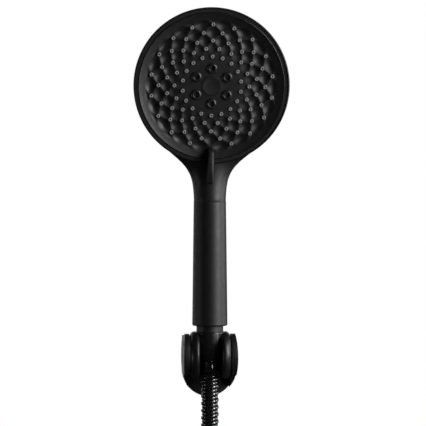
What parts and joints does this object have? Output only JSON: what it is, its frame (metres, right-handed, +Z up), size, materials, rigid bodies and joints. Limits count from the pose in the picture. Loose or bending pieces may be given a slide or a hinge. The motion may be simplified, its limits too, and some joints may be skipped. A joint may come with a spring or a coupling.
{
  "type": "handheld shower head",
  "caption": "Upright handheld shower head with a round spray face and selector lever, resting in a tilting wall bracket, its metal hose folded below it.",
  "frame": {"origin": "middle of the bracket's wall face, level with the cradle's pivot", "axes": "+Y into the wall along the wall face's normal, +Z up along the handle, +X to the right of a person who faces the spray face"},
  "size_m": [0.1541, 0.0663, 0.6248],
  "materials": {
    "black_plastic": "matte black moulded ABS",
    "black_metal": "glossy black plated metal",
    "hose_core": null,
    "grey_silicone": "grey silicone",
    "inner_plastic": "natural acetal",
    "seal_rubber": "black sealing rubber",
    "nipple_brass": "turned brass",
    "fastener_steel": "stainless steel",
    "tie_plastic": "black cable tie"
  },
  "bodies": {
    "bracket": {"bracket_body": "black_plastic", "wall_plate": "fastener_steel", "plate_grub_screw": "fastener_steel", "side_caps": "black_plastic", "pivot_screws": "fastener_steel", "friction_washers": "fastener_steel"},
    "cradle": {"cradle_drum": "black_plastic", "cradle_liner": "inner_plastic"},
    "hose_end": {"swivel_nipple": "nipple_brass", "nipple_o_ring": "seal_rubber", "hose_ferrule": "black_metal"},
    "handset": {"cone_nut": "black_plastic", "hose_washer": "seal_rubber", "inlet_insert": "inner_plastic", "filter_screen": "fastener_steel", "flow_regulator": "inner_plastic", "check_valve_cage": "inner_plastic", "check_valve_spring": "fastener_steel", "grip_sleeve": "black_plastic", "water_tube": "inner_plastic", "tube_o_rings": "seal_rubber", "rear_housing": "black_plastic", "diverter_base": "inner_plastic", "base_o_ring": "seal_rubber", "base_screws": "fastener_steel", "port_seals": "seal_rubber", "seal_springs": "fastener_steel", "detent_spring": "fastener_steel", "centre_screw": "fastener_steel", "screw_washer": "fastener_steel"},
    "check_valve": {"check_valve_poppet": "inner_plastic"},
    "detent": {"detent_plunger": "fastener_steel"},
    "spray_face": {"face_plate": "black_plastic", "nozzle_mat": "grey_silicone", "massage_nozzles": "seal_rubber", "face_backplate": "inner_plastic", "centre_cap": "black_plastic", "selector_lever": "black_plastic"},
    "hose": {"hose_run": "hose_core", "hose_hank": "hose_core", "hank_ties": "tie_plastic", "outlet_ferrule": "black_metal", "outlet_nipple": "nipple_brass"},
    "outlet_nut": {"outlet_nut": "black_metal", "outlet_washer": "seal_rubber"}
  },
  "joints": [
    {"name": "cradle_tilt", "type": "hinge", "parent": "bracket", "child": "cradle", "pos_m": [0, -0.032, 0], "axis": [1, 0, 0], "range_deg": [-5, 30]},
    {"name": "handset_lift", "type": "slide", "parent": "cradle", "child": "hose_end", "axis": [0, 0, 1], "range_m": [0, 0.035]},
    {"name": "handset_turn", "type": "hinge", "parent": "hose_end", "child": "handset", "pos_m": [0, -0.032, 0], "axis": [0, 0, 1], "range_deg": [-90, 90]},
    {"name": "selector_turn", "type": "hinge", "parent": "handset", "child": "spray_face", "pos_m": [0, -0.056, 0.2075], "axis": [0, -0.9848, -0.1736], "range_deg": [-25, 25]},
    {"name": "check_valve_lift", "type": "slide", "parent": "handset", "child": "check_valve", "axis": [0, 0, 1], "range_m": [0, 0.002], "stiffness_N_per_m": 60, "springref_m": -0.002, "deforming": ["check_valve_spring"]},
    {"name": "detent_press", "type": "slide", "parent": "handset", "child": "detent", "axis": [0, 0.9848, 0.1736], "range_m": [0, 0.0008], "stiffness_N_per_m": 2000, "springref_m": -0.001, "deforming": ["detent_spring"]},
    {"name": "hose_bend", "type": "hinge", "parent": "hose_end", "child": "hose", "pos_m": [0, -0.032, -0.021], "axis": [1, 0, 0], "range_deg": [-30, 5]},
    {"name": "outlet_nut_spin", "type": "hinge", "parent": "hose", "child": "outlet_nut", "pos_m": [-0.077, -0.032, -0.26], "axis": [0, 0, 1], "continuous": true}
  ],
  "couplings": [
    {"joint": "hose_bend", "follows": "cradle_tilt", "ratio": -1}
  ]
}
